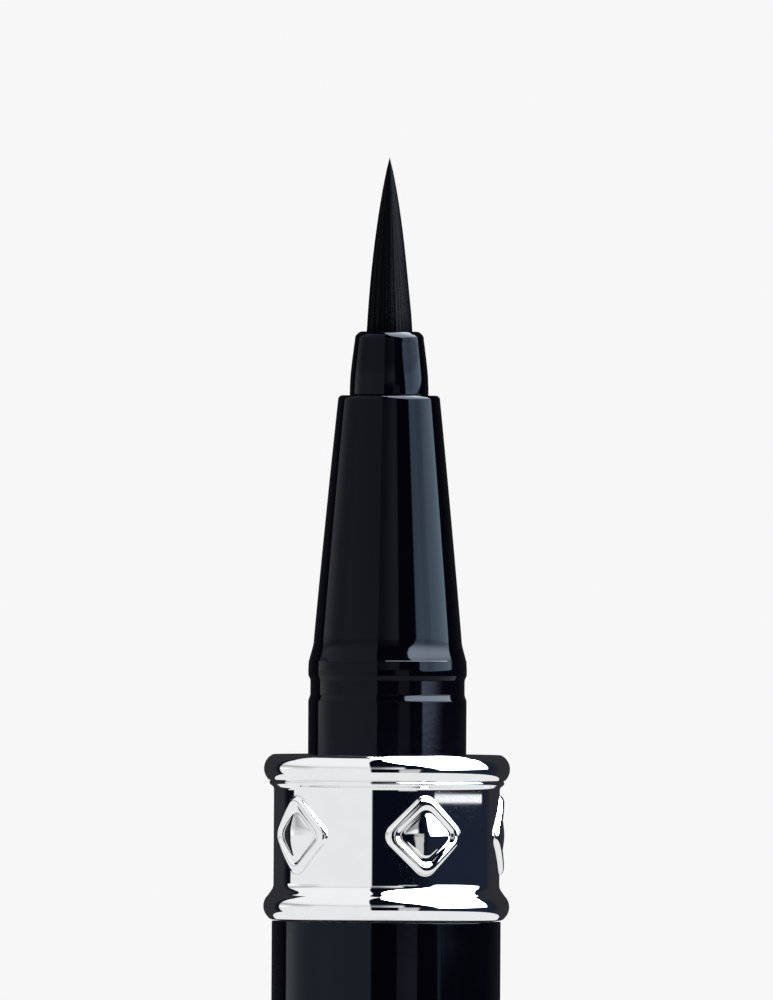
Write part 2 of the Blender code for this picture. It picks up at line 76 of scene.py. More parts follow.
class Graph:
    def __init__(self, tree):
        self.tree = tree
        tree.nodes.clear()

    # settings go on first, and "points" fill a float curve
    def node(self, kind, settings=None, values=None, out=0):
        made = self.tree.nodes.new(kind)
        for name, value in (settings or {}).items():
            if name == "points":
                curve = made.mapping.curves[0]
                while len(curve.points) < len(value):
                    curve.points.new(1.0, 1.0)
                for point, spot in zip(curve.points, value):
                    point.location = spot
                made.mapping.update()
            else:
                setattr(made, name, value)
        for name, value in (values or {}).items():
            if isinstance(value, Wire):
                self.tree.links.new(value.socket, made.inputs[name])
            else:
                made.inputs[name].default_value = value
        return Wire(self, made.outputs[out]) if made.outputs else None

    def other(self, wire, out):
        return Wire(self, wire.socket.node.outputs[out])

    def maths(self, operation, *values):
        return self.node("ShaderNodeMath", {"operation": operation}, dict(enumerate(values)))

    # 0 below low, 1 above high, eased between
    def rise(self, value, low, high):
        settings = {"interpolation_type": "SMOOTHSTEP"}
        return self.node("ShaderNodeMapRange", settings, {"Value": value, "From Min": low, "From Max": high})

    # an eased step at an edge, soft wide
    def above(self, value, edge, soft):
        return self.rise(value, edge - soft / 2, edge + soft / 2)

    def below(self, value, edge, soft):
        return 1 - self.above(value, edge, soft)

    def window(self, value, low, high, soft):
        return self.above(value, low, soft) * self.below(value, high, soft)

    # how far a value has gone past an edge, and 0 before it
    def past(self, value, edge):
        return self.maths("MAXIMUM", value - edge, 0)

    # a line that starts level and changes its slope at each (slope, edge)
    def slopes(self, value, changes):
        return sum(slope * self.past(value, edge) for slope, edge in changes)

    def mix(self, factor, first, second):
        values = {0: factor, 6: first, 7: second}
        return self.node("ShaderNodeMix", {"data_type": "RGBA"}, values, out=2)

    def parts(self, vector):
        split = self.node("ShaderNodeSeparateXYZ", None, {0: vector})
        return split, self.other(split, 1), self.other(split, 2)

    def vector(self, x, y, z):
        return self.node("ShaderNodeCombineXYZ", None, {0: x, 1: y, 2: z})

    def vectorMaths(self, operation, *values, out=0):
        return self.node("ShaderNodeVectorMath", {"operation": operation}, dict(enumerate(values)), out)

    def scaled(self, vector, factor):
        return self.node("ShaderNodeVectorMath", {"operation": "SCALE"}, {0: vector, "Scale": factor})


def rgba(colour, level=1.0):
    return (*(channel * level for channel in colour), 1.0)


# the photograph's view: level, from far off and slightly rolled
cameraView = {
    "distance": 1.300,
    "aimHeight": 0.143955,
    "aimSide": -0.000093,
    "rollDeg": 0.32,
    "frameHeight": 0.04585,
    "sensor": 36.0,
    "clip": (0.01, 50.0),
}


def addCamera(sizes):
    lens = bpy.data.cameras.new("camera")
    lens.sensor_width = sizes["sensor"]
    lens.lens = sizes["sensor"] * sizes["distance"] / sizes["frameHeight"]
    lens.clip_start, lens.clip_end = sizes["clip"]
    camera = bpy.data.objects.new("camera", lens)
    level = Matrix.Rotation(math.radians(90), 4, "X")
    roll = Matrix.Rotation(math.radians(sizes["rollDeg"]), 4, "Z")
    spot = Matrix.Translation((sizes["aimSide"], -sizes["distance"], sizes["aimHeight"]))
    camera.matrix_world = spot @ level @ roll
    bpy.context.scene.collection.objects.link(camera)
    bpy.context.scene.camera = camera


addCamera(cameraView)
print("camera placed")


# The surroundings are placed by turn, degrees round from the camera's side (+ to the right), and by lift,
# degrees up from level. A window is (from, to, softness) and an edge is (place, softness).
studio = {
    "pale": (0.93, 0.93, 0.93),
    "floor": (0.80, 0.80, 0.80),
    "floorRadius": 0.36,
    "floorSides": 128,
    "floorDrop": 0.02 * mm,
    "domeLevel": 0.78,
    "domeTop": 0.30,
    "keyStrength": 0.75,
    "keyAngleDeg": 30.0,
    "keyTurnDeg": (38.0, 0.0, -42.0),
    "lowSpread": 1.1667,
    "bandWindow": (-1.80, -1.15, 0.05),       # only the band of the collar reflects these lifts
}
# dark card round the lens, dark flags on the right and at the far sides
cards = {
    "lens": (0.0024, 0.0038, 0.0085),
    "right": (0.013, 0.018, 0.034), "rightTurns": (20.0, 60.0),
    "side": (0.030, 0.030, 0.036), "sideTurns": (121.0, 135.0),
}
# a weak fill above the lens, then small lights on the right, named by what reflects them
patches = {
    "fill": {"colour": (0.98, 0.98, 1.00), "turn": (-20.0, 17.0, 4.0), "lift": (5.0, 21.0, 3.0),
             "levels": (0.36, 1.0), "levelTurns": (-10.0, 13.0), "highLoss": 0.6, "highLifts": (11.0, 13.5)},
    "neck": {"colour": (0.55, 0.57, 0.56), "turn": (16.5, 33.0, 3.0), "lift": (-1.15, 0.5, 0.05)},
    "barrel": {"colour": (0.78, 0.63, 0.75), "turn": (10.8, 31.5, 2.5), "lift": (-2.6, -1.80, 0.05),
               "levels": (0.85, 1.15), "levelTurns": (12.0, 28.0)},
    "lowBead": {"colour": (0.62, 0.62, 0.62), "turn": (12.0, 31.0, 3.0), "lift": (-45.0, -2.9, 0.3)},
    "ridge": {"colour": (0.62, 0.62, 0.62), "turn": (12.0, 31.0, 3.0), "lift": (0.6, 4.6, 0.4), "share": 0.8},
    "barrelSliver": {"colour": (0.95, 0.90, 0.92), "turn": (53.5, 57.0, 1.8), "lift": (-2.6, -2.03, 0.04)},
}
# large soft box on the left, brighter towards its far edge
softBox = {
    "colour": (0.92, 0.925, 0.93),
    "farEdge": (-121.0, 2.0), "farLean": ((0.80, 36.0), (-1.90, 51.0)),
    "nearEdge": (-15.0, 2.0), "nearLean": 0.0025,
    "bandShift": 5.0, "bandShiftTop": 6.0, "bandShiftLifts": (-1.70, -1.25),
    "wallsAbove": (-2.3, 0.1),
    "farGain": 0.42, "farGainTurns": (98.0, 117.0), "farGainBelow": (3.0, 5.0),
    "dip": 0.16, "dipTurn": (-100.0, -74.0, 12.0), "dipBelow": (12.0, 3.0),
    "coneDim": 0.20, "coneLifts": (8.0, 11.0), "coneBelow": (16.0, 3.0),
    "coneFootShare": 1.3, "coneFootLifts": (5.2, 8.0), "coneFootTurns": (60.0, 100.0),
    "topGain": 0.09, "topLifts": (16.0, 30.0),
}
# strip box on the right; it leans in over the pen as it rises, and turns into the overhead sheet
stripBox = {
    "colour": (3.10, 4.05, 4.75), "lowColour": (3.75, 4.15, 5.30), "lowBelow": (0.0, 2.0),
    "sheet": (19.5, 20.8, 21.9), "sheetLifts": (11.0, 32.0),
    "leftEdge": 51.0, "leftSoft": 3.0, "lowShift": 2.0, "seam": 172.0,
    "lean": ((-0.5, -1.0), (-0.2, 12.0), (-1.1, 32.0), (0.9, 36.0)),
    "rightEdge": (56.0, 93.0), "rightGrowth": (53.0, 18.0), "growthLifts": (-0.8, 4.0),
    "backLean": ((0.12, 5.0), (0.8, 28.0)),
    "overheadFrom": (48.0, 4.0), "overheadSide": (-0.11, 0.04), "overheadBack": (0.0, 0.1),
    "foot": (-1.09, 0.06), "footSlope": 0.005, "footSlopeFrom": 55.0,
    "neckGain": 0.35, "neckLifts": (8.4, 9.7), "levelGain": 0.28, "levelBelow": (2.0, 2.0),
    "dip": 0.17, "dipTurn": (60.0, 73.0, 4.0), "dipAbove": (2.0, 1.0),
}
stripFoot = {"colour": (1.10, 1.12, 1.16), "turn": (50.0, 114.0, 2.0), "lift": (-1.3245, -1.288, 0.012)}


def cardsSeen(g, turn, look):
    seen = g.mix(g.rise(turn, *look["rightTurns"]), rgba(look["lens"]), rgba(look["right"]))
    return g.mix(g.rise(g.maths("ABSOLUTE", turn), *look["sideTurns"]), seen, rgba(look["side"]))


def withPatch(g, seen, turn, lift, look):
    share = g.window(turn, *look["turn"]) * g.window(lift, *look["lift"]) * look.get("share", 1.0)
    if "highLoss" in look:
        share = share * (1 - look["highLoss"] * g.rise(lift, *look["highLifts"]))
    light = rgba(look["colour"])
    if "levels" in look:
        left, right = (rgba(look["colour"], level) for level in look["levels"])
        light = g.mix(g.rise(turn, *look["levelTurns"]), left, right)
    return g.mix(share, seen, light)


def withSoftBox(g, seen, turn, lift, offBand, look):
    shift = look["bandShift"] + look["bandShiftTop"] * g.rise(lift, *look["bandShiftLifts"])
    leaned = turn + g.slopes(lift, look["farLean"]) - (1 - offBand) * shift
    nearer = turn + look["nearLean"] * g.past(lift, 0.0) ** 2
    box = g.above(leaned, *look["farEdge"]) * g.below(nearer, *look["nearEdge"])
    onWalls = g.above(lift, *look["wallsAbove"]) * offBand
    far = g.rise(0 - turn, *look["farGainTurns"]) * g.below(lift, *look["farGainBelow"]) * onWalls
    dip = g.window(turn, *look["dipTurn"]) * g.below(lift, *look["dipBelow"]) * onWalls
    gain = (1 + look["farGain"] * far) * (1 - look["dip"] * dip)
    coneFoot = g.rise(lift, *look["coneFootLifts"]) * g.rise(0 - turn, *look["coneFootTurns"])
    onCone = g.rise(lift, *look["coneLifts"]) + look["coneFootShare"] * coneFoot
    gain = gain * (1 - look["coneDim"] * onCone * g.below(lift, *look["coneBelow"]))
    gain = gain * (1 + look["topGain"] * g.rise(lift, *look["topLifts"]))
    return g.mix(box, seen, g.scaled(look["colour"], gain))


def withStrip(g, seen, x, y, turn, lift, look):
    low = g.below(lift, *look["lowBelow"])
    swing = g.maths("FLOORED_MODULO", turn + look["seam"], 360) - look["seam"]
    leftEdge = look["leftEdge"] + look["lowShift"] * low + g.slopes(lift, look["lean"])
    growth = g.rise(lift, *look["growthLifts"])
    start, end = (edge + more * growth for edge, more in zip(look["rightEdge"], look["rightGrowth"]))
    right = 1 - g.rise(swing - g.slopes(lift, look["backLean"]), start, end)
    overhead = g.above(lift, *look["overheadFrom"])
    overBack = g.above(x, *look["overheadSide"]) * g.above(y, *look["overheadBack"]) * overhead
    strip = g.above(swing - leftEdge, 0, look["leftSoft"]) * g.maths("MAXIMUM", right, overhead)
    strip = g.maths("MAXIMUM", strip, overBack)
    strip = strip * g.above(lift - look["footSlope"] * g.past(turn, look["footSlopeFrom"]), *look["foot"])
    gain = 1 + look["neckGain"] * (1 - g.rise(lift, *look["neckLifts"]))
    gain = gain + look["levelGain"] * g.below(lift, *look["levelBelow"])
    gain = gain * (1 - look["dip"] * g.window(turn, *look["dipTurn"]) * g.above(lift, *look["dipAbove"]))
    light = g.scaled(g.mix(low, rgba(look["colour"]), rgba(look["lowColour"])), gain)
    light = g.mix(g.rise(lift, *look["sheetLifts"]), light, rgba(look["sheet"]))
    return g.mix(strip, seen, light)


def buildWorld(look):
    world = bpy.data.worlds.new("studio")
    bpy.context.scene.world = world
    world.use_nodes = True
    g = Graph(world.node_tree)
    x, y, z = g.parts(g.node("ShaderNodeTexCoord"))
    turn = g.maths("ARCTAN2", x, 0 - y) * math.degrees(1)
    lift = g.maths("ARCSINE", z) * math.degrees(1)
    # upright walls reflect the narrow belt just below level; it is spread out here to be easier to divide
    lift = lift + look["lowSpread"] * g.maths("MINIMUM", lift, 0)
    offBand = 1 - g.window(lift, *look["bandWindow"])

    seen = cardsSeen(g, turn, cards)
    for patch in patches.values():
        seen = withPatch(g, seen, turn, lift, patch)
    seen = withSoftBox(g, seen, turn, lift, offBand, softBox)
    seen = withStrip(g, seen, x, y, turn, lift, stripBox)
    seen = withPatch(g, seen, turn, lift, stripFoot)

    # mirror rays see the studio, the camera sees the pale backdrop, and the rest a plain dome
    isCamera = g.node("ShaderNodeLightPath")
    isGlossy = g.other(isCamera, "Is Glossy Ray")
    isThrough = g.other(isCamera, "Is Transmission Ray")
    dome = g.scaled((1.0, 1.0, 1.0), look["domeLevel"] + look["domeTop"] * g.past(z, 0.0))
    colour = g.mix(isGlossy, dome, seen)
    colour = g.mix(g.maths("MAXIMUM", isCamera, isThrough), colour, rgba(look["pale"]))
    background = g.node("ShaderNodeBackground", None, {"Color": colour, "Strength": 1.0})
    g.node("ShaderNodeOutputWorld", None, {"Surface": background})


def addKey(look):
    lamp = bpy.data.lights.new("key", "SUN")
    lamp.energy = look["keyStrength"]
    lamp.angle = math.radians(look["keyAngleDeg"])
    key = bpy.data.objects.new("key", lamp)
    key.rotation_euler = [math.radians(part) for part in look["keyTurnDeg"]]
    key.visible_glossy = False          # its mirror image is the soft box of the world
    bpy.context.scene.collection.objects.link(key)


def addFloor(look):
    mesh = bpy.data.meshes.new("floor")
    builder = bmesh.new()
    bmesh.ops.create_circle(builder, cap_ends=True, segments=look["floorSides"], radius=look["floorRadius"])
    bmesh.ops.translate(builder, verts=builder.verts, vec=(0, 0, -look["floorDrop"]))
    builder.to_mesh(mesh)
    builder.free()
    floor = bpy.data.objects.new("floor", mesh)
    material = bpy.data.materials.new("paleFloor")
    material.use_nodes = True
    g = Graph(material.node_tree)
    shader = g.node("ShaderNodeBsdfDiffuse", None, {"Color": rgba(look["floor"])})
    g.node("ShaderNodeOutputMaterial", None, {"Surface": shader})
    mesh.materials.append(material)
    bpy.context.scene.collection.objects.link(floor)
    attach(floor, "cap")               # the pen stands in its cap, and is lifted out of it


bpy.context.scene.view_settings.view_transform = "Standard"
buildWorld(studio)
addKey(studio)
addFloor(studio)
print("studio built")


# A noise is (repeats per mm, detail) or (repeats per mm, detail, stretch). A range or tone is the pair of noise
# levels where an effect starts and is full, and toneShare multiplies the base colour there.
gloss = {
    "base": (0.0009, 0.0008, 0.0021), "cloudTone": (0.3, 0.8), "toneShare": 1.5,
    "cloud": (0.35, 3.0), "cloudRange": (0.35, 0.75),
    "streak": (9.0, 2.0, (1, 1, 0.04)), "streakRange": (0.60, 0.80), "streakRough": 0.015,
    "speck": (14.0, 1.0), "speckRange": (0.70, 0.78), "speckRough": 0.05,
    "swell": (0.9, 1.0, (1, 1, 0.25)), "ripple": (5.0, 1.0), "rippleShare": 0.12, "depth": 0.0000012,
}
finishes = {
    "moulded": {"ior": 1.238, "tint": (0.75, 0.82, 1.0), "roughness": 0.035, "grime": 0.020},
    "lacquer": {"ior": 1.297, "tint": (0.56, 0.75, 1.0), "roughness": 0.030, "grime": 0.016},
    "chrome": {"base": (0.865, 0.870, 0.880), "cloudTone": (0.3, 0.7), "toneShare": 0.97, "roughness": 0.004,
               "cloud": (0.8, 2.0), "cloudRange": (0.4, 0.8), "cloudRough": 0.003,
               "pit": (16.0, 0.0), "pitRange": (0.74, 0.80), "pitRough": 0.015,
               "waves": (0.45, 1.0, (1, 1, 1.6)), "depth": 0.000014, "trueBand": (1.35, 6.20, 0.40)},
    "bristle": {"ior": 1.08, "tint": (0.72, 0.85, 1.0), "root": (0.0016, 0.0016, 0.0024),
                "sheen": (0.0046, 0.0050, 0.0068), "sheenRange": (0.35, 1.0),
                "roughness": 0.20, "toneRough": 0.10, "fine": (30.0, 2.0, (1, 1, 0.05)), "fineRough": 0.08,
                "lean": 0.39, "ownNormal": 0.34, "ownLeast": 0.4, "ownGrowth": 1.2},
    "plastic": {"ior": 1.46, "cloudiness": 0.08, "cloud": (0.5, 3.0), "cloudTone": (0.3, 0.7), "cloudRough": 0.08,
                "grit": (12.0, 2.0), "gritRough": 0.10},
    "steel": {"toneShare": 0.86, "cloud": (0.9, 2.0), "cloudTone": (0.35, 0.75), "lines": (8.0, 3.0),
              "lineRough": 0.10, "lineMiddle": 0.4, "depth": 0.0000015},
    "fibre": {"dark": (0.030, 0.031, 0.036), "light": (0.090, 0.092, 0.100), "strand": (11.0, 3.0, (1, 1, 0.06)),
              "strandTone": (0.3, 0.7), "roughness": 0.75, "strandRough": 0.2, "depth": 0.00002},
}


def newFinish(name):
    material = bpy.data.materials.new(name)
    material.use_nodes = True
    return material, Graph(material.node_tree)


# the Principled shader with what varies linked and what is constant set on its own sockets
def dress(g, values):
    shader = g.node("ShaderNodeBsdfPrincipled", None, values)
    g.node("ShaderNodeOutputMaterial", None, {"Surface": shader})


def noise(g, scale, detail, stretch=(1, 1, 1)):
    coords = g.node("ShaderNodeTexCoord", out="Object")
    perMetre = tuple(part / mm for part in stretch)
    spot = g.node("ShaderNodeMapping", None, {"Vector": coords, "Scale": perMetre})
    return g.node("ShaderNodeTexNoise", None, {"Vector": spot, "Scale": scale, "Detail": detail})


def bump(g, height, distance):
    return g.node("ShaderNodeBump", None, {"Height": height, "Distance": distance})


# glossy black: moulded on the nose and holder, lacquered on the barrel, tail and cap
def makeBlackGloss(name, look, skin):
    material, g = newFinish(name)
    cloud = noise(g, *skin["cloud"])
    streak = g.rise(noise(g, *skin["streak"]), *skin["streakRange"])
    speck = g.rise(noise(g, *skin["speck"]), *skin["speckRange"])
    rough = look["roughness"] + look["grime"] * g.rise(cloud, *skin["cloudRange"])
    rough = rough + skin["streakRough"] * streak + skin["speckRough"] * speck
    colour = g.mix(g.rise(cloud, *skin["cloudTone"]), rgba(skin["base"]), rgba(skin["base"], skin["toneShare"]))
    height = noise(g, *skin["swell"]) + skin["rippleShare"] * noise(g, *skin["ripple"])
    dress(g, {"Base Color": colour, "Roughness": rough, "IOR": look["ior"], "Specular Tint": rgba(look["tint"]),
              "Normal": bump(g, height, skin["depth"])})
    return material


# plated plastic: the band is flat and true, the beads roll a little
def makeChrome(look):
    material, g = newFinish("chrome")
    cloud = noise(g, *look["cloud"])
    pit = g.rise(noise(g, *look["pit"]), *look["pitRange"])
    rough = look["roughness"] + look["cloudRough"] * g.rise(cloud, *look["cloudRange"]) + look["pitRough"] * pit
    colour = g.mix(g.rise(cloud, *look["cloudTone"]), rgba(look["base"]), rgba(look["base"], look["toneShare"]))
    z = g.parts(g.node("ShaderNodeTexCoord", out="Object"))[2]
    bandLow, bandTop, soft = look["trueBand"]
    onBand = g.window(z / mm, collarFoot / mm + bandLow, collarFoot / mm + bandTop, soft)
    waves = (noise(g, *look["waves"]) - 0.5) * (1 - onBand)
    dress(g, {"Base Color": colour, "Metallic": 1.0, "Roughness": rough, "Normal": bump(g, waves, look["depth"])})
    return material


# wet strands: the whole brush shines as one cone, with a little of each strand in it
def makeBristle(look):
    material, g = newFinish("bristle")
    tone = g.node("ShaderNodeAttribute", {"attribute_name": "strandTone"}, out="Fac")
    colour = g.mix(g.rise(tone, *look["sheenRange"]), rgba(look["root"]), rgba(look["sheen"]))
    rough = look["roughness"] + look["toneRough"] * tone + look["fineRough"] * noise(g, *look["fine"])
    x, y = g.parts(g.node("ShaderNodeTexCoord", out="Object"))[:2]
    outward = g.vectorMaths("ADD", g.vectorMaths("NORMALIZE", g.vector(x, y, 0.0)), (0.0, 0.0, look["lean"]))
    share = look["ownNormal"] * (look["ownLeast"] + look["ownGrowth"] * tone)
    own = g.scaled(g.node("ShaderNodeNewGeometry", out="Normal"), share)
    facing = g.vectorMaths("NORMALIZE", g.vectorMaths("ADD", own, g.scaled(outward, 1 - share)))
    dress(g, {"Base Color": colour, "Roughness": rough, "IOR": look["ior"], "Specular Tint": rgba(look["tint"]),
              "Normal": facing})
    return material


# a moulded plastic, with a fine grain and slightly uneven tone
def makePlastic(name, base, roughness, grain, look=finishes["plastic"]):
    material, g = newFinish(name)
    cloud = noise(g, *look["cloud"])
    grit = noise(g, *look["grit"])
    dark, light = (rgba(base, 1 + side * look["cloudiness"]) for side in (-1, 1))
    colour = g.mix(g.rise(cloud, *look["cloudTone"]), dark, light)
    rough = roughness + look["cloudRough"] * (cloud - 0.5) + look["gritRough"] * (grit - 0.5)
    dress(g, {"Base Color": colour, "Roughness": rough, "IOR": look["ior"], "Normal": bump(g, grit, grain)})
    return material


def makeSteel(name, base, roughness, stretch, look=finishes["steel"]):
    material, g = newFinish(name)
    lines = noise(g, *look["lines"], stretch)
    cloud = noise(g, *look["cloud"])
    colour = g.mix(g.rise(cloud, *look["cloudTone"]), rgba(base), rgba(base, look["toneShare"]))
    rough = roughness + look["lineRough"] * (lines - look["lineMiddle"])
    dress(g, {"Base Color": colour, "Metallic": 1.0, "Roughness": rough, "Normal": bump(g, lines, look["depth"])})
    return material


def makeFibre(look):
    material, g = newFinish("fibre")
    strand = noise(g, *look["strand"])
    colour = g.mix(g.rise(strand, *look["strandTone"]), rgba(look["dark"]), rgba(look["light"]))
    dress(g, {"Base Color": colour, "Roughness": look["roughness"] + look["strandRough"] * strand,
              "Normal": bump(g, strand, look["depth"])})
    return material


mouldedGloss = makeBlackGloss("mouldedGloss", finishes["moulded"], gloss)
lacquerGloss = makeBlackGloss("lacquerGloss", finishes["lacquer"], gloss)
chrome = makeChrome(finishes["chrome"])
bristle = makeBristle(finishes["bristle"])
# base colour, roughness, and the depth of a plastic's grain in metres or the stretch of a steel's lines
linerPlastic = makePlastic("linerPlastic", (0.050, 0.051, 0.054), 0.42, 0.000004)
innerCapPlastic = makePlastic("innerCapPlastic", (0.50, 0.51, 0.53), 0.38, 0.000004)
combPlastic = makePlastic("combPlastic", (0.26, 0.27, 0.29), 0.45, 0.000004)
tankPlastic = makePlastic("tankPlastic", (0.66, 0.67, 0.68), 0.34, 0.000003)
sealRubber = makePlastic("sealRubber", (0.020, 0.020, 0.021), 0.68, 0.000008)
steel = makeSteel("steel", (0.62, 0.62, 0.63), 0.16, (1, 1, 1))
springSteel = makeSteel("springSteel", (0.52, 0.52, 0.54), 0.30, (1, 1, 0.2))
fibre = makeFibre(finishes["fibre"])
print("finishes made")


# corners are (radius, height, rounding) in mm; a rounded corner becomes a short arc
def outlineOf(corners, closed=True, steps=5):
    points = []
    count = len(corners)
    for index, corner in enumerate(corners):
        radius, height, rounding = (*corner, 0.0)[:3]
        atEnd = not closed and index in (0, count - 1)
        if rounding <= 0 or atEnd:
            points.append((radius, height))
            continue
        before = corners[index - 1]
        after = corners[(index + 1) % count]
        back = (before[0] - radius, before[1] - height)
        ahead = (after[0] - radius, after[1] - height)
        backLength = math.hypot(*back)
        aheadLength = math.hypot(*ahead)
        back = (back[0] / backLength, back[1] / backLength)
        ahead = (ahead[0] / aheadLength, ahead[1] / aheadLength)
        opening = math.acos(max(-1.0, min(1.0, back[0] * ahead[0] + back[1] * ahead[1])))
        reach = rounding / math.tan(opening / 2)
        toCentre = rounding / math.sin(opening / 2)
        middle = (back[0] + ahead[0], back[1] + ahead[1])
        middleLength = math.hypot(*middle)
        centre = (radius + middle[0] / middleLength * toCentre, height + middle[1] / middleLength * toCentre)
        start = (radius + back[0] * reach - centre[0], height + back[1] * reach - centre[1])
        end = (radius + ahead[0] * reach - centre[0], height + ahead[1] * reach - centre[1])
        first = math.atan2(start[1], start[0])
        sweep = (math.atan2(end[1], end[0]) - first + math.pi) % tau - math.pi
        points += arcPoints(*centre, rounding, first, sweep, steps)
    return points


def arcPoints(centreRadius, centreHeight, size, first, sweep, steps):
    angles = [first + sweep * step / steps for step in range(steps + 1)]
    return [(centreRadius + size * math.cos(angle), centreHeight + size * math.sin(angle)) for angle in angles]


def degreeArc(centreRadius, centreHeight, size, startDeg, endDeg, steps):
    first = math.radians(startDeg)
    return arcPoints(centreRadius, centreHeight, size, first, math.radians(endDeg) - first, steps)


# a ring close to each end of a long straight run keeps its reflections straight
support = {"longRun": 0.3, "inset": 0.12, "mostShare": 0.2, "outerShare": 0.15}
onAxisBelow = 1e-6


def supported(outline):
    points = []
    for start, end in zip(outline, outline[1:] + outline[:1]):
        points.append(start)
        run = math.hypot(end[0] - start[0], end[1] - start[1])
        if run < support["longRun"] or max(start[0], end[0]) < onAxisBelow:
            continue
        edge = min(support["inset"] / run, support["mostShare"])
        outer = support["outerShare"] * edge
        for share in (outer, edge, 1 - edge, 1 - outer):
            points.append((start[0] + (end[0] - start[0]) * share, start[1] + (end[1] - start[1]) * share))
    return points


# heights in mm above base, radii in mm; an outline that starts and ends on the axis is closed there
def turnedPiece(name, outline, base, finish, segments, sharpDeg=32):
    outline = supported(outline)
    onAxis = outline[0][0] < onAxisBelow
    verts = []
    rings = []
    for radius, height in outline:
        if radius < onAxisBelow:
            rings.append([len(verts)])
            verts.append((0, 0, base + height * mm))
            continue
        ring = []
        for index in range(segments):
            angle = tau * index / segments
            ring.append(len(verts))
            verts.append((radius * mm * math.sin(angle), -radius * mm * math.cos(angle), base + height * mm))
        rings.append(ring)
    faces = []
    pairs = list(zip(rings, rings[1:]))
    if not onAxis:
        pairs.append((rings[-1], rings[0]))
    for low, high in pairs:
        for index in range(segments):
            nxt = (index + 1) % segments
            if len(low) == 1:
                faces.append((low[0], high[nxt], high[index]))
            elif len(high) == 1:
                faces.append((low[index], low[nxt], high[0]))
            else:
                faces.append((low[index], low[nxt], high[nxt], high[index]))
    return meshPiece(name, verts, faces, finish, sharpDeg)


def meshPiece(name, verts, faces, finish, sharpDeg):
    mesh = bpy.data.meshes.new(name)
    mesh.from_pydata(verts, [], faces)
    builder = bmesh.new()
    builder.from_mesh(mesh)
    bmesh.ops.recalc_face_normals(builder, faces=builder.faces)
    builder.to_mesh(mesh)
    builder.free()
    mesh.shade_smooth()
    mesh.set_sharp_from_angle(angle=math.radians(sharpDeg))
    mesh.materials.append(finish)
    piece = bpy.data.objects.new(name, mesh)
    bpy.context.scene.collection.objects.link(piece)
    piece.modifiers.new("even", "WEIGHTED_NORMAL").keep_sharp = True
    return settled(piece)


# the evaluated mesh takes the place of the live modifiers
def settled(piece):
    bpy.context.view_layer.update()
    depsgraph = bpy.context.evaluated_depsgraph_get()
    mesh = bpy.data.meshes.new_from_object(piece.evaluated_get(depsgraph), preserve_all_data_layers=True,
                                           depsgraph=depsgraph)
    piece.modifiers.clear()
    piece.data = mesh
    mesh.name = piece.name
    return piece


def stands(piece, body, node):
    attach(piece, body)
    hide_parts(node)


nose = {
    "neck": 3.63, "neckTop": 10.05, "groove": 3.54, "grooveLow": 10.32, "grooveHigh": 11.00,
    "ridge": 3.64, "ridgeLow": 11.21, "ridgeHigh": 11.90, "ridgeRound": 0.05, "ledge": 0.022, "ridgeCrest": 11.45,
    "coneBase": 12.79, "coneBaseRadius": 3.38, "coneTop": 24.05, "coneTopRadius": 2.34,
    "coneBulge": 0.020, "coneSteps": 20, "coneCorner": 0.20, "coneCornerArc": (84, 6, 8), "flareStart": 0.18,
    # share of the way out to the ridge, and share of the way down to it
    "flare": ((0.10, 0.12), (0.30, 0.34), (0.58, 0.60), (0.84, 0.82), (0.96, 0.94)),
    "shank": -13.70, "mouthBore": 1.86, "stepBore": 2.30, "lowBore": 2.88, "step": 19.00, "lowStep": 13.00,
    "sealTop": -8.72, "sealLow": -9.28, "sealGroove": 3.13,
}


def makeNose(neck, neckTop, groove, grooveLow, grooveHigh, ridge, ridgeLow, ridgeHigh, ridgeRound, ledge,
             ridgeCrest, coneBase, coneBaseRadius, coneTop, coneTopRadius, coneBulge, coneSteps, coneCorner,
             coneCornerArc, flareStart, flare, shank, mouthBore, stepBore, lowBore, step, lowStep, sealTop, sealLow,
             sealGroove):
    corners = [
        (mouthBore, coneTop, 0.04),
        (coneTopRadius - coneCorner, coneTop, 0),
    ]
    corners += degreeArc(coneTopRadius - coneCorner, coneTop - coneCorner, coneCorner, *coneCornerArc)
    for index in range(coneSteps + 1):
        share = index / coneSteps
        height = coneTop - coneCorner
        height += (coneBase + flareStart - height) * share
        radius = coneTopRadius + (coneBaseRadius - coneTopRadius) * share
        radius += coneBulge * 4 * share * (1 - share)
        corners.append((radius, height))
    # the flare eases out to the ridge
    for share, drop in flare:
        radius = coneBaseRadius + (ridge - coneBaseRadius) * share
        radius -= ledge * 2 * share
        corners.append((radius, coneBase - (coneBase - ridgeHigh) * drop))
    corners += [
        (ridge - ledge * 2, ridgeHigh + 0.01, 0.006),
        (ridge - ledge, ridgeHigh - 0.02, 0.02),
        (ridge, ridgeCrest, 1.2),
        (ridge - 0.006, ridgeLow, ridgeRound),
        (groove, grooveHigh, ridgeRound),
        (groove, grooveLow, ridgeRound * 4),
        (neck, neckTop, ridgeRound * 3),
        (neck, sealTop),
        (sealGroove, sealTop),
        (sealGroove, sealLow),
        (neck, sealLow),
        (neck, shank, 0.05),
        (lowBore, shank),
        (lowBore, lowStep),
        (stepBore, lowStep),
        (stepBore, step),
        (mouthBore, step),
    ]
    piece = turnedPiece("nose_gloss", outlineOf(corners, steps=4), collarFoot, mouldedGloss, segments=224)
    stands(piece, "pen", "nose_cone")


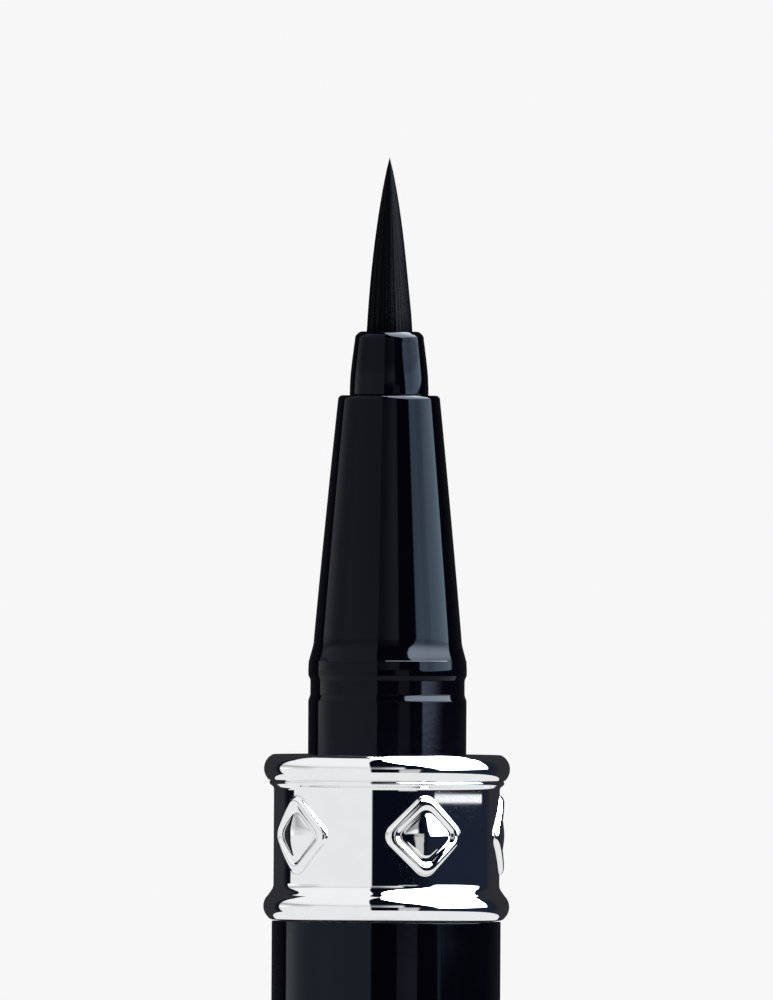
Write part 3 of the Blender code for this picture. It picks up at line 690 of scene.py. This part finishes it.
holder = {
    "top": 26.98, "face": 1.35, "topRadius": 1.57, "baseRadius": 1.81, "seat": 24.11, "corner": 0.20,
    "mouth": 1.14, "chamber": 1.37, "chamberTop": 23.08, "shank": 1.80, "flange": 2.24,
    "flangeTop": 18.94, "flangeLow": 17.44, "bottom": 15.04, "rise": 2.93,
    "swell": ((0.133, 0.06), (0.19, 0.15), (0.256, 0.26), (0.32, 0.35), (0.382, 0.45), (0.445, 0.55),
              (0.509, 0.64), (0.57, 0.72), (0.631, 0.80), (0.69, 0.86), (0.758, 0.915), (0.82, 0.95), (0.884, 0.98)),
}


def makeHolder(top, face, topRadius, baseRadius, seat, corner, mouth, chamber, chamberTop, shank, flange, flangeTop,
               flangeLow, bottom, rise, swell):
    corners = [
        (mouth, top, 0.03),
        (face, top, 0.28),
        (topRadius, top - corner, 0.28),
    ]
    gain = baseRadius - topRadius
    for drop, share in swell:
        corners.append((topRadius + gain * share, top - rise * drop))
    corners += [
        (baseRadius, seat, 0.02),
        (shank, seat - 0.06),
        (shank, flangeTop),
        (flange, flangeTop),
        (flange, flangeLow),
        (shank, flangeLow),
        (shank, bottom),
        (chamber, bottom),
        (chamber, chamberTop),
        (mouth, chamberTop),
    ]
    piece = turnedPiece("holder_gloss", outlineOf(corners, steps=6), collarFoot, mouldedGloss, segments=160)
    stands(piece, "pen", "brush_holder")


barrel = {"radius": 5.25, "bore": 4.46, "top": -0.06, "bottom": -88.66, "edge": 0.03}


def makeBarrel(radius, bore, top, bottom, edge):
    corners = [
        (bore, bottom, 0.05),
        (radius, bottom, edge),
        (radius, top, edge),
        (bore, top, 0.05),
    ]
    piece = turnedPiece("barrel_gloss", outlineOf(corners), collarFoot, lacquerGloss, segments=256)
    stands(piece, "pen", "barrel")


tail = {
    "radius": 5.25, "bandTop": -88.72, "bandLow": -89.92, "edge": 0.08, "shank": 4.40, "shankTop": -82.66,
    "neck": 3.63, "run": 2.47, "groove": 3.54, "grooveStart": 2.74, "grooveEnd": 3.42, "ridge": 3.64,
    "ridgeStart": 3.63, "length": 8.00, "hollow": 2.62, "hollowDepth": 6.50, "corner": 0.20,
}


def makeTail(radius, bandTop, bandLow, edge, shank, shankTop, neck, run, groove, grooveStart, grooveEnd, ridge,
             ridgeStart, length, hollow, hollowDepth, corner):
    low = bandLow
    end = low - length
    corners = [
        (0, shankTop),
        (shank, shankTop, 0.10),
        (shank, bandTop),
        (radius, bandTop, edge),
        (radius, low, edge),
        (neck, low, 0.06),
        (neck, low - run, 0.08),
        (groove, low - grooveStart, 0.06),
        (groove, low - grooveEnd, 0.06),
        (ridge, low - ridgeStart, 0.05),
        (ridge, end, corner),
        (hollow, end, 0.10),
        (hollow, end + hollowDepth, 0.20),
        (0, end + hollowDepth),
    ]
    piece = turnedPiece("tail_gloss", outlineOf(corners, closed=False), collarFoot, lacquerGloss, segments=224)
    stands(piece, "pen", "tail_plug")


cap = {
    "radius": 5.25, "bore": 4.40, "length": 34.68, "floor": 1.50, "boss": 2.25, "bossHeight": 0.80,
    "corner": 0.45, "edge": 0.10,
}


def makeCap(radius, bore, length, floor, boss, bossHeight, corner, edge):
    corners = [
        (0, floor + bossHeight),
        (boss, floor + bossHeight, 0.08),
        (boss, floor, 0.06),
        (bore, floor, 0.12),
        (bore, length, 0.06),
        (radius, length, edge),
        (radius, 0, corner),
        (0, 0),
    ]
    piece = turnedPiece("cap_gloss", outlineOf(corners, closed=False, steps=8), 0, lacquerGloss, segments=256)
    stands(piece, "cap", "cap_shell")


liner = {
    "radius": 4.34, "bore": 3.73, "top": 34.38, "bottom": 6.04, "beadDepth": 3.08, "bead": 0.05,
    "beadLength": 0.50, "stopDepth": 8.70, "stopHeight": 0.60, "stopBore": 3.27, "sink": 0.30,
}


def makeLiner(radius, bore, top, bottom, beadDepth, bead, beadLength, stopDepth, stopHeight, stopBore, sink):
    rim = top + sink
    beadMiddle = rim - beadDepth
    stop = rim - stopDepth
    corners = [
        (bore, top, 0.18),
        (radius, top, 0.06),
        (radius, bottom, 0.06),
        (bore, bottom, 0.06),
        (bore, stop - stopHeight),
        (stopBore, stop - stopHeight, 0.08),
        (stopBore, stop, 0.08),
        (bore, stop, 0.05),
        (bore, beadMiddle - beadLength / 2),
        (bore - bead, beadMiddle, 0.12),
        (bore, beadMiddle + beadLength / 2),
    ]
    piece = turnedPiece("liner_sleeve", outlineOf(corners), 0, linerPlastic, segments=160)
    stands(piece, "cap", "cap_liner")


sealCup = {
    "radius": 3.63, "bore": 3.03, "mouth": 2.93, "top": 25.32, "bottom": 6.04, "end": 0.80, "lip": 0.50,
    "boss": 2.25, "bossLow": 5.24,
}


def makeSealCup(radius, bore, mouth, top, bottom, end, lip, boss, bossLow):
    corners = [
        (0, bottom + end),
        (bore, bottom + end, 0.40),
        (bore, top - lip, 0.03),
        (mouth, top - lip, 0.04),
        (mouth, top, 0.12),
        (radius, top, 0.10),
        (radius, bottom, 0.10),
        (boss, bottom, 0.06),
        (boss, bossLow, 0.08),
        (0, bossLow),
    ]
    piece = turnedPiece("seal_cup_body", outlineOf(corners, closed=False), 0, innerCapPlastic, segments=160)
    stands(piece, "seal_cup", "inner_cap")


makeNose(**nose)
makeHolder(**holder)
makeBarrel(**barrel)
makeTail(**tail)
makeCap(**cap)
makeLiner(**liner)
makeSealCup(**sealCup)
print("turned pieces made")


spring = {
    "radius": 2.60, "wire": 0.25, "low": 1.844, "high": 5.729, "turns": 3.75, "stepsPerTurn": 40, "sides": 12,
    "ease": 0.06, "seat": 1.50, "travel": 1.50, "sharpDeg": 50,
}


# a coil whose end turns lie flatter
def makeSpring(sizes):
    steps = round(sizes["turns"] * sizes["stepsPerTurn"])
    sides = sizes["sides"]
    verts = []
    for step in range(steps + 1):
        share = step / steps
        turn = tau * sizes["turns"] * share
        height = sizes["low"] + (sizes["high"] - sizes["low"]) * (share - sizes["ease"] * math.sin(tau * share))
        for side in range(sides):
            angle = tau * side / sides
            radius = (sizes["radius"] + sizes["wire"] * math.cos(angle)) * mm
            level = (height + sizes["wire"] * math.sin(angle)) * mm
            verts.append((radius * math.cos(turn), radius * math.sin(turn), level))
    faces = [tuple(range(sides)), tuple(range(steps * sides, (steps + 1) * sides))]
    for step in range(steps):
        for side in range(sides):
            first = step * sides + side
            second = step * sides + (side + 1) % sides
            faces.append((first, second, second + sides, first + sides))
    piece = meshPiece("spring_coil", verts, faces, springSteel, sizes["sharpDeg"])
    stands(piece, "cap", "cap_spring")
    height = sizes["high"] + sizes["wire"] - sizes["seat"]
    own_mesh(piece)


makeSpring(spring)


# a Geometry Nodes tree whose inputs are a dictionary's entries
def newTree(name, inputs):
    tree = bpy.data.node_groups.new(name, "GeometryNodeTree")
    tree.is_modifier = True
    kinds = {int: "NodeSocketInt", float: "NodeSocketFloat"}
    for label, value in inputs.items():
        kind = "NodeSocketMaterial" if isinstance(value, bpy.types.Material) else kinds[type(value)]
        tree.interface.new_socket(name=label, in_out="INPUT", socket_type=kind)
    tree.interface.new_socket(name="Geometry", in_out="OUTPUT", socket_type="NodeSocketGeometry")
    g = Graph(tree)
    given = tree.nodes.new("NodeGroupInput")
    return tree, g, {label: Wire(g, given.outputs[label]) for label in inputs}


# runs a tree on an empty mesh and keeps the plain mesh that it makes
def grown(name, tree, inputs):
    piece = bpy.data.objects.new(name, bpy.data.meshes.new(name))
    bpy.context.scene.collection.objects.link(piece)
    modifier = piece.modifiers.new(name, "NODES")
    modifier.node_group = tree
    for item in tree.interface.items_tree:
        if item.in_out == "INPUT":
            modifier[item.identifier] = inputs[item.name]
    return settled(piece)


def finishTree(g, geometry, material):
    whole = g.node("GeometryNodeRealizeInstances", None, {0: geometry})
    dressed = g.node("GeometryNodeSetMaterial", None, {"Geometry": whole, "Material": material})
    g.node("NodeGroupOutput", None, {0: dressed})


# mm above the collar's foot, which meets the barrel
collar = {
    "radius": 5.18, "height": 7.58, "lipBore": 3.73, "bore": 4.46, "lipLow": 7.28, "barrelRadius": 5.25,
    "topCentre": 4.92, "topHeight": 6.93, "topRound": 0.72, "topArc": (-46, 62, 42), "topFace": (5.22, 3.80),
    "lowCentre": 4.94, "lowHeight": 0.62, "lowRound": 0.70, "lowArc": (-43.5, 47.4, 30),
    "bandRun": (1.66, 5.98), "lipChamfer": 0.07, "sharpDeg": 50,
    # radius over the band and height: the hollow above the low bead
    "hollow": ((0.222, 1.160), (0.196, 1.200), (0.160, 1.250), (0.122, 1.300), (0.088, 1.350), (0.058, 1.400),
               (0.038, 1.440), (0.022, 1.480), (0.010, 1.530), (0.003, 1.580)),
    # narrow ledge and fine groove under the top bead
    "ledge": ((0.005, 6.020), (0.020, 6.070), (0.052, 6.110), (0.100, 6.145), (0.150, 6.180), (0.186, 6.220),
              (0.203, 6.270), (0.203, 6.310), (0.192, 6.345), (0.176, 6.368), (0.172, 6.384), (0.186, 6.398),
              (0.216, 6.408)),
}


def makeCollar(sizes):
    band = sizes["radius"]
    outline = outlineOf([
        (sizes["bore"], sizes["lipLow"]),
        (sizes["bore"], 0, 0.04),
        (sizes["barrelRadius"], 0, 0.02),
        (sizes["barrelRadius"] + 0.10, 0.04, 0.02),
        (sizes["barrelRadius"] + 0.155, 0.085),
    ], closed=False)
    outline += degreeArc(sizes["lowCentre"], sizes["lowHeight"], sizes["lowRound"], *sizes["lowArc"])
    outline += [(band + proud, height) for proud, height in sizes["hollow"]]
    outline += [(band, height) for height in sizes["bandRun"]]
    outline += [(band + proud, height) for proud, height in sizes["ledge"]]
    outline += degreeArc(sizes["topCentre"], sizes["topHeight"], sizes["topRound"], *sizes["topArc"])
    outline += [(radius, sizes["height"]) for radius in sizes["topFace"]]
    outline += [(sizes["lipBore"], sizes["height"] - sizes["lipChamfer"]), (sizes["lipBore"], sizes["lipLow"])]
    piece = turnedPiece("collar_chrome", outline, collarFoot, chrome, segments=360, sharpDeg=sizes["sharpDeg"])
    stands(piece, "pen", "decor_collar")


lozenges = {
    "Count": 5, "First turn": math.radians(20.0), "Band radius": 5.18 * mm, "Half width": 2.14 * mm,
    "Half height": 2.10 * mm, "Pad radius": 1.42 * mm, "Corner": 0.62 * mm, "Middle": collarFoot + 3.907 * mm,
    "Proud": 0.23 * mm, "Edge sunk": 0.01 * mm, "Back sunk": 0.06 * mm, "Round from": 0.30, "Round at": 0.80,
    "Rings": 48, "Steps round": 180, "Corner steps": 12, "Weld": 0.0005 * mm, "Finish": chrome,
}
# height shares from a lozenge's edge (0) to its centre (1): a rounded frame, a gap and a domed pad
lozengeSection = [
    (0.00, 0.00), (0.03, 0.34), (0.07, 0.66), (0.12, 0.86), (0.17, 0.94), (0.22, 0.93), (0.27, 0.82),
    (0.31, 0.60), (0.345, 0.42), (0.38, 0.40), (0.415, 0.42), (0.47, 0.53), (0.53, 0.63), (0.59, 0.716),
    (0.68, 0.825), (0.77, 0.907), (0.88, 0.977), (1.00, 1.00),
]


def lozengeTree(inputs):
    tree, g, given = newTree("raisedLozenges", inputs)
    grid = g.node("GeometryNodeMeshGrid", None, {
        "Size X": 1.0, "Size Y": 1.0, "Vertices X": given["Rings"], "Vertices Y": given["Steps round"] + 1})
    across, along = g.parts(g.node("GeometryNodeInputPosition"))[:2]
    ring = g.maths("ROUND", (across + 0.5) * (given["Rings"] - 1))
    share = g.maths("MAXIMUM", ring - 2, 0) / (given["Rings"] - 3)
    # ring 0 is the centre of the sunk back, ring 1 its edge, and the rest run in over the front
    scale = g.maths("MINIMUM", ring, 1) * (1 - share)
    back = g.maths("LESS_THAN", ring, 1.5)
    section = g.node("ShaderNodeFloatCurve", {"points": lozengeSection}, {"Value": share})
    height = (1 - back) * (section * given["Proud"] - given["Edge sunk"]) - back * given["Back sunk"]
    diamond = g.node("GeometryNodeCurvePrimitiveQuadrilateral", {"mode": "KITE"}, {
        "Width": given["Half width"] * 2, "Bottom Height": given["Half height"], "Top Height": given["Half height"]})
    rounded = g.node("GeometryNodeFilletCurve", {"mode": "POLY"}, {
        "Curve": diamond, "Count": given["Corner steps"], "Radius": given["Corner"]})
    sample = g.node("GeometryNodeSampleCurve", {"mode": "FACTOR", "use_all_curves": True}, {
        "Curves": rounded, "Factor": along + 0.5}, out="Position")
    # a diamond at its edge, nearly round at its centre
    length = g.vectorMaths("LENGTH", sample, out="Value")
    roundness = g.rise(share, given["Round from"], given["Round at"])
    inward = 1 - roundness + roundness * given["Pad radius"] / length
    side, rise = g.parts(sample)[:2]
    scale = scale * inward
    turn = side * scale / given["Band radius"]
    reach = given["Band radius"] + height
    spot = g.vector(reach * g.maths("SINE", turn), 0 - reach * g.maths("COSINE", turn),
                    given["Middle"] + rise * scale)
    wrapped = g.node("GeometryNodeSetPosition", None, {"Geometry": grid, "Position": spot})
    merged = g.node("GeometryNodeMergeByDistance", None, {"Geometry": wrapped, "Distance": given["Weld"]})
    smooth = g.node("GeometryNodeSetShadeSmooth", None, {"Geometry": merged, "Shade Smooth": True})
    points = g.node("GeometryNodePoints", None, {"Count": given["Count"]})
    index = g.node("GeometryNodeInputIndex")
    turned = g.vector(0.0, 0.0, given["First turn"] + index * tau / given["Count"])
    copies = g.node("GeometryNodeInstanceOnPoints", None, {
        "Points": points, "Instance": smooth, "Rotation": turned})
    finishTree(g, copies, given["Finish"])
    return tree


# closed shells are turned so that every face points out
def facesOut(piece):
    builder = bmesh.new()
    builder.from_mesh(piece.data)
    bmesh.ops.recalc_face_normals(builder, faces=builder.faces)
    builder.to_mesh(piece.data)
    builder.free()


makeCollar(collar)
relief = grown("collar_lozenges", lozengeTree(lozenges), lozenges)
facesOut(relief)
stands(relief, "pen", "decor_collar")
print("collar made, relief faces:", len(relief.data.polygons))


# the brush: strands on a sunflower's spiral, drawn together to a point
strands = {
    "Count": 620, "Sides": 6, "Rows": 13, "Spread": 1.035 * mm, "Strand radius": 0.045 * mm,
    "Root height": collarFoot + 26.72 * mm, "Mouth height": collarFoot + 26.98 * mm, "Length": 7.98 * mm,
    "Straight taper": 0.63, "Cubed taper": 0.37, "Outer drop": 0.05, "Waver": 0.016 * mm, "Bend": 0.030 * mm,
    "Waver scale": 1.9, "Waver stretch": 0.22, "Straight root": 0.05, "Bent at": 0.35, "Row bias": 0.80,
    "Least width": 0.50, "Point from": 0.955, "Point loss": 0.80, "Seed": 7, "Seed step": 1.7, "Finish": bristle,
}


def strandTree(inputs):
    tree, g, given = newTree("brushStrands", inputs)
    index = g.node("GeometryNodeInputIndex")
    golden = math.pi * (3 - math.sqrt(5))
    share = g.maths("SQRT", (index + 0.5) / given["Count"])
    angle = index * golden
    rootX = share * given["Spread"] * g.maths("COSINE", angle)
    rootY = share * given["Spread"] * g.maths("SINE", angle)
    root = g.vector(rootX, rootY, 0.0)
    points = g.node("GeometryNodePoints", None, {"Count": given["Count"], "Position": root})
    chance = g.node("FunctionNodeRandomValue", {"data_type": "FLOAT"}, {"Seed": given["Seed"]}, out=1)
    stores = (("strandShare", "FLOAT", share), ("strandTone", "FLOAT", chance),
              ("strandRoot", "FLOAT_VECTOR", g.node("GeometryNodeInputPosition")))
    for label, kind, value in stores:
        points = g.node("GeometryNodeStoreNamedAttribute", {"data_type": kind, "domain": "POINT"},
                        {"Geometry": points, "Name": label, "Value": value})
    tube = g.node("GeometryNodeMeshCylinder", {"fill_type": "TRIANGLE_FAN"}, {
        "Vertices": given["Sides"], "Side Segments": given["Rows"], "Radius": 1.0, "Depth": 1.0})
    copies = g.node("GeometryNodeInstanceOnPoints", None, {"Points": points, "Instance": tube})
    whole = g.node("GeometryNodeRealizeInstances", None, {0: copies})

    def stored(label, kind):
        return g.node("GeometryNodeInputNamedAttribute", {"data_type": kind}, {"Name": label})

    px, py, pz = g.parts(g.node("GeometryNodeInputPosition"))
    rx, ry = g.parts(stored("strandRoot", "FLOAT_VECTOR"))[:2]
    shareHere = stored("strandShare", "FLOAT")
    tone = stored("strandTone", "FLOAT")
    # more rows near the point, where the brush narrows fastest
    up = (pz + 0.5) ** given["Row bias"]
    reach = 1 - given["Outer drop"] * shareHere * tone
    run = given["Mouth height"] - given["Root height"] + given["Length"]
    height = given["Root height"] + up * reach * run
    rise = g.maths("MAXIMUM", height - given["Mouth height"], 0) / given["Length"]
    taper = 1 - given["Straight taper"] * rise - given["Cubed taper"] * rise ** 3
    least = given["Least width"]
    slim = given["Strand radius"] * (least + (1 - least) * g.maths("MAXIMUM", taper, 0))
    slim = slim * (1 - given["Point loss"] * g.rise(up, given["Point from"], 1.0))
    # slow along the strand, so that it waves and doesn't shake
    where = g.vector(rx / mm, ry / mm, height / mm * given["Waver stretch"])
    wobble = g.node("ShaderNodeTexNoise", {"noise_dimensions": "4D"}, {
        "Vector": where, "W": given["Seed"] * given["Seed step"], "Scale": given["Waver scale"], "Detail": 1.0})
    sway = (wobble - 0.5) * given["Waver"] * g.rise(rise, given["Straight root"], given["Bent at"]) * taper
    newX = rx * taper + (px - rx) * slim + sway - given["Bend"] * g.rise(rise, 0.0, given["Bent at"])
    newY = ry * taper + (py - ry) * slim - sway
    moved = g.node("GeometryNodeSetPosition", None, {"Geometry": whole, "Position": g.vector(newX, newY, height)})
    smooth = g.node("GeometryNodeSetShadeSmooth", None, {"Geometry": moved, "Shade Smooth": True})
    finishTree(g, smooth, given["Finish"])
    return tree


brush = grown("brush_strands", strandTree(strands), strands)
facesOut(brush)
stands(brush, "pen", "brush_tip")
print("brush made, faces:", len(brush.data.polygons))


# inner pieces that keep their solids, and the finish of each
kept = {
    "brush_base": bristle, "feed_core": fibre, "collector": combPlastic, "nose_seal": sealRubber,
    "ink_tank": tankPlastic, "tank_plug": tankPlastic, "plug_seal": sealRubber, "mixing_ball": steel,
}
for nodeName, finish in kept.items():
    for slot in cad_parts[nodeName].material_slots:
        slot.material = finish
print("inner pieces dressed")

bpy.context.view_layer.update()
